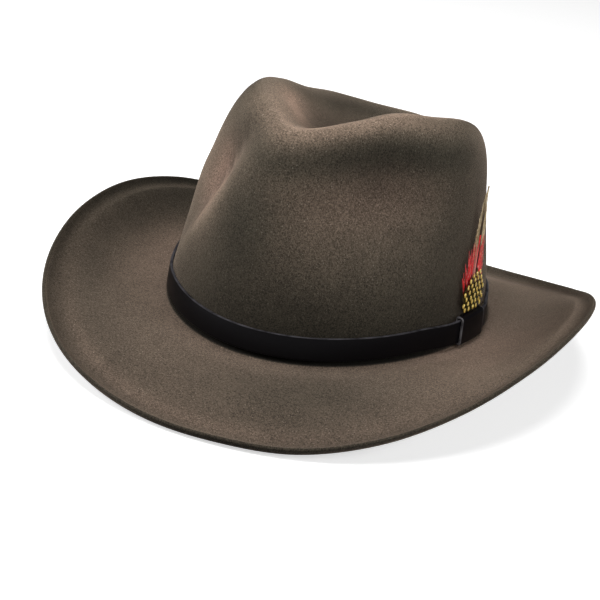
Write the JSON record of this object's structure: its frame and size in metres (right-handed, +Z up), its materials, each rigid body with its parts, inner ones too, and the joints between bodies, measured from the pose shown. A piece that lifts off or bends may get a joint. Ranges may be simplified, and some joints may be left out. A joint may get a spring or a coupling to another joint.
{
  "type": "bush hat",
  "caption": "Felt bush hat with a creased and pinched crown, a wide brim with a rolled rim raised at the sides, a plain leather band with a keeper, and feathers tucked behind it.",
  "frame": {"origin": "on the ground, under the middle of the brim's outline", "axes": "+Z up, +Y towards the back of the hat, +X towards the wearer's left, where the feathers are"},
  "size_m": [0.297, 0.347, 0.1437],
  "materials": {
    "felt": "soft brushed olive-brown wool felt with a short nap",
    "band_leather": "smooth black leather, soft sheen",
    "keeper_leather": "smooth black leather with paler cut edges",
    "tan_feather": "cream feather with a dark brown centre",
    "red_feather": "bright red hackle barbs",
    "gold_feather": "dark olive feather with pale gold dots"
  },
  "bodies": {
    "root": {"felt_body": "felt", "hat_band": "band_leather", "band_keeper": "keeper_leather", "feather_tan": "tan_feather", "feather_red": "red_feather", "feather_gold": "gold_feather"}
  },
  "joints": []
}
